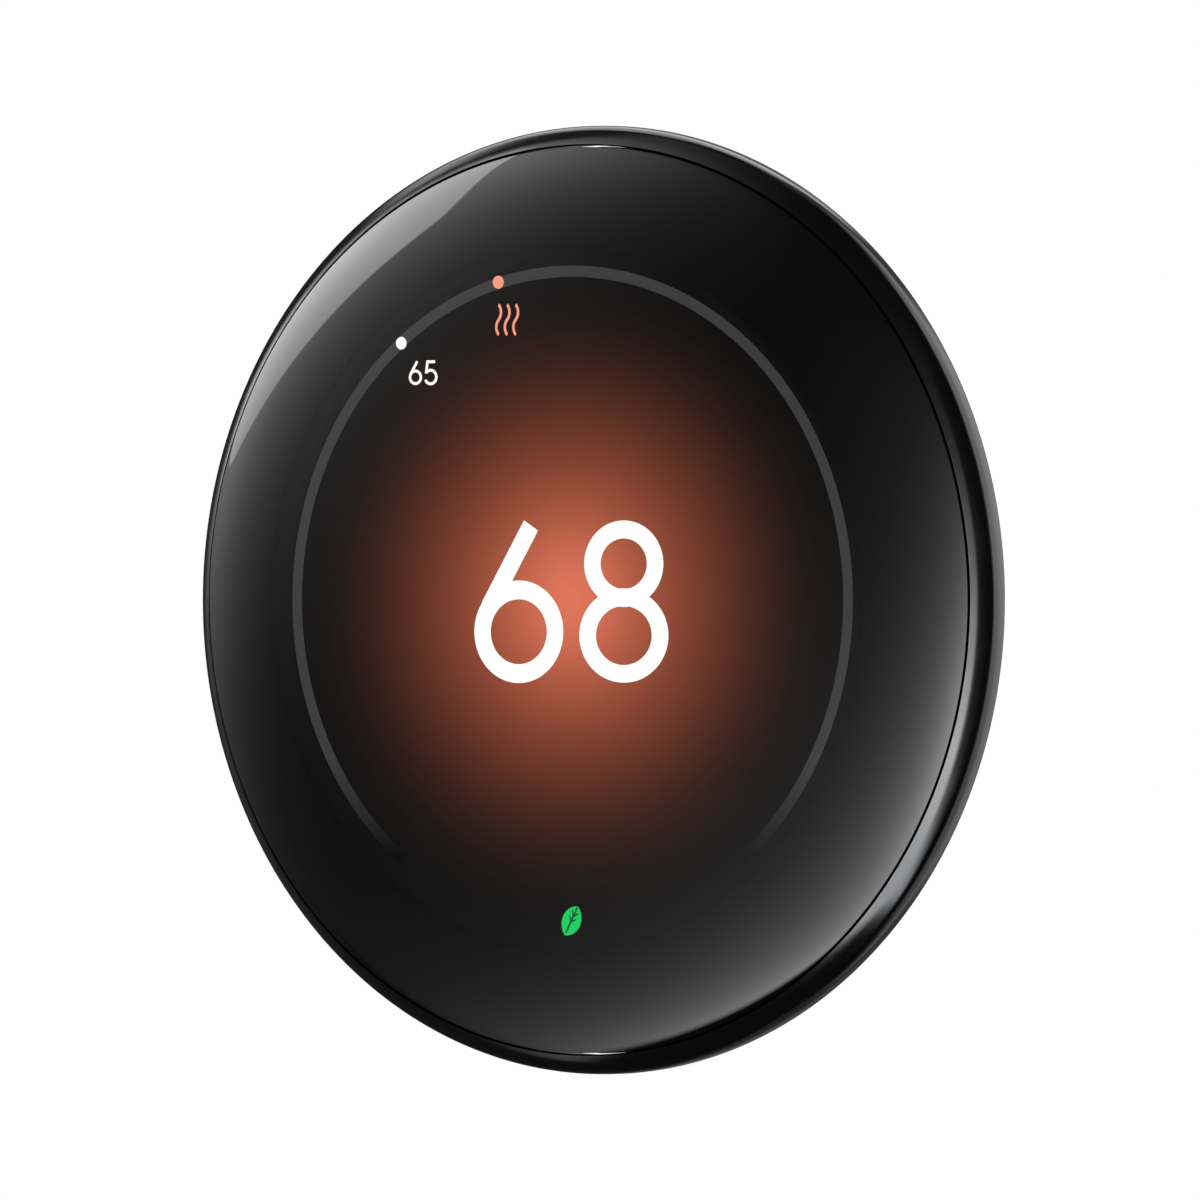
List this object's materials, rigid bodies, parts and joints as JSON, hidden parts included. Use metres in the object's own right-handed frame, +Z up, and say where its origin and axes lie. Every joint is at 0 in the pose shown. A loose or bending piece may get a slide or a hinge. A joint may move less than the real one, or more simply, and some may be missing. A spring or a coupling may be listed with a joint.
{
  "type": "wall thermostat",
  "caption": "Round wall thermostat with a domed glass face, a metal ring that turns, a face that presses in to click, and a head that pulls off a wired wall base.",
  "frame": {"origin": "centre of the base's back on the wall plane", "axes": "+X to the right, +Y into the wall (the display looks along -Y), +Z up"},
  "size_m": [0.084, 0.027, 0.084],
  "materials": {
    "polished_dark_metal": "dark polished, lightly tinted",
    "black_glass": "glossy, clear over the display and printed black at the edge",
    "display_black": "smooth screen surface",
    "diffuser_white": "satin",
    "sheet_steel": "tinned sheet",
    "screw_steel": "zinc plated",
    "spring_steel": "bright wire",
    "black_plastic": "fine satin",
    "dark_grey_plastic": "satin",
    "slide_plastic": "slippery satin",
    "white_plastic": "fine satin",
    "tab_grey": "satin",
    "circuit_board": "solder resist",
    "battery_foil": "satin foil pouch",
    "lead_red": "sleeved wire",
    "flex_amber": "translucent film",
    "brass": "plain",
    "level_liquid": "clear, tinted liquid",
    "tape_black": "matte foam tape"
  },
  "bodies": {
    "base": {"base_plate": "white_plastic", "base_board": "circuit_board", "base_cover": "white_plastic", "terminal_block_left": "dark_grey_plastic", "terminal_block_right": "dark_grey_plastic", "contact_strip_left": "brass", "contact_strip_right": "brass", "cover_screw_1": "screw_steel", "cover_screw_2": "screw_steel", "cover_screw_3": "screw_steel", "base_socket": "dark_grey_plastic", "level_vial": "level_liquid"},
    "head": {"rear_cover": "black_plastic", "main_board": "circuit_board", "battery": "battery_foil", "battery_plug": "white_plastic", "battery_lead": "lead_red", "processor_shield": "sheet_steel", "radio_shield": "sheet_steel", "usb_c_port": "sheet_steel", "head_plug": "dark_grey_plastic", "sounder": "brass", "climate_sensor": "white_plastic", "click_switch": "dark_grey_plastic", "shoulder_screw_1": "screw_steel", "shoulder_screw_2": "screw_steel", "shoulder_screw_3": "screw_steel", "board_screw_1": "screw_steel", "board_screw_2": "screw_steel", "board_screw_3": "screw_steel", "return_spring_1": "spring_steel", "return_spring_2": "spring_steel", "return_spring_3": "spring_steel", "display_flex": "flex_amber"},
    "face": {"front_chassis": "black_plastic", "lens_glass": "black_glass", "lens_tape": "tape_black", "display_panel": "display_black", "backlight": "diffuser_white", "display_tray": "sheet_steel", "encoder_sensor": "dark_grey_plastic", "glide_ring": "slide_plastic", "ring_retainer": "black_plastic"},
    "ring": {"control_ring": "polished_dark_metal", "ring_carrier": "dark_grey_plastic"},
    "click_button": {"click_button": "white_plastic"},
    "release_tab_left_1": {"release_tab_left_1": "tab_grey"},
    "release_tab_left_2": {"release_tab_left_2": "tab_grey"},
    "release_tab_left_3": {"release_tab_left_3": "tab_grey"},
    "release_tab_left_4": {"release_tab_left_4": "tab_grey"},
    "release_tab_left_5": {"release_tab_left_5": "tab_grey"},
    "release_tab_left_6": {"release_tab_left_6": "tab_grey"},
    "release_tab_right_1": {"release_tab_right_1": "tab_grey"},
    "release_tab_right_2": {"release_tab_right_2": "tab_grey"},
    "release_tab_right_3": {"release_tab_right_3": "tab_grey"},
    "release_tab_right_4": {"release_tab_right_4": "tab_grey"},
    "release_tab_right_5": {"release_tab_right_5": "tab_grey"},
    "release_tab_right_6": {"release_tab_right_6": "tab_grey"}
  },
  "joints": [
    {"name": "head_pull_off", "type": "slide", "parent": "base", "child": "head", "axis": [0, -1, 0], "range_m": [0, 0.04]},
    {"name": "face_press", "type": "slide", "parent": "head", "child": "face", "axis": [0, 1, 0], "range_m": [0, 0.0006], "stiffness_N_per_m": 3000, "springref_m": -0.0006, "deforming": ["return_spring_1", "return_spring_2", "return_spring_3", "display_flex"]},
    {"name": "ring_turn", "type": "hinge", "parent": "face", "child": "ring", "pos_m": [0, -0.01815, 0], "axis": [0, 1, 0], "continuous": true},
    {"name": "button_press", "type": "slide", "parent": "head", "child": "click_button", "axis": [0, 1, 0], "range_m": [0, 0.0006]},
    {"name": "tab_left_1_press", "type": "slide", "parent": "base", "child": "release_tab_left_1", "axis": [0, 1, 0], "range_m": [0, 0.0015], "stiffness_N_per_m": 600, "springref_m": -0.0005},
    {"name": "tab_left_2_press", "type": "slide", "parent": "base", "child": "release_tab_left_2", "axis": [0, 1, 0], "range_m": [0, 0.0015], "stiffness_N_per_m": 600, "springref_m": -0.0005},
    {"name": "tab_left_3_press", "type": "slide", "parent": "base", "child": "release_tab_left_3", "axis": [0, 1, 0], "range_m": [0, 0.0015], "stiffness_N_per_m": 600, "springref_m": -0.0005},
    {"name": "tab_left_4_press", "type": "slide", "parent": "base", "child": "release_tab_left_4", "axis": [0, 1, 0], "range_m": [0, 0.0015], "stiffness_N_per_m": 600, "springref_m": -0.0005},
    {"name": "tab_left_5_press", "type": "slide", "parent": "base", "child": "release_tab_left_5", "axis": [0, 1, 0], "range_m": [0, 0.0015], "stiffness_N_per_m": 600, "springref_m": -0.0005},
    {"name": "tab_left_6_press", "type": "slide", "parent": "base", "child": "release_tab_left_6", "axis": [0, 1, 0], "range_m": [0, 0.0015], "stiffness_N_per_m": 600, "springref_m": -0.0005},
    {"name": "tab_right_1_press", "type": "slide", "parent": "base", "child": "release_tab_right_1", "axis": [0, 1, 0], "range_m": [0, 0.0015], "stiffness_N_per_m": 600, "springref_m": -0.0005},
    {"name": "tab_right_2_press", "type": "slide", "parent": "base", "child": "release_tab_right_2", "axis": [0, 1, 0], "range_m": [0, 0.0015], "stiffness_N_per_m": 600, "springref_m": -0.0005},
    {"name": "tab_right_3_press", "type": "slide", "parent": "base", "child": "release_tab_right_3", "axis": [0, 1, 0], "range_m": [0, 0.0015], "stiffness_N_per_m": 600, "springref_m": -0.0005},
    {"name": "tab_right_4_press", "type": "slide", "parent": "base", "child": "release_tab_right_4", "axis": [0, 1, 0], "range_m": [0, 0.0015], "stiffness_N_per_m": 600, "springref_m": -0.0005},
    {"name": "tab_right_5_press", "type": "slide", "parent": "base", "child": "release_tab_right_5", "axis": [0, 1, 0], "range_m": [0, 0.0015], "stiffness_N_per_m": 600, "springref_m": -0.0005},
    {"name": "tab_right_6_press", "type": "slide", "parent": "base", "child": "release_tab_right_6", "axis": [0, 1, 0], "range_m": [0, 0.0015], "stiffness_N_per_m": 600, "springref_m": -0.0005}
  ],
  "couplings": [
    {"joint": "button_press", "follows": "face_press", "ratio": 1}
  ]
}
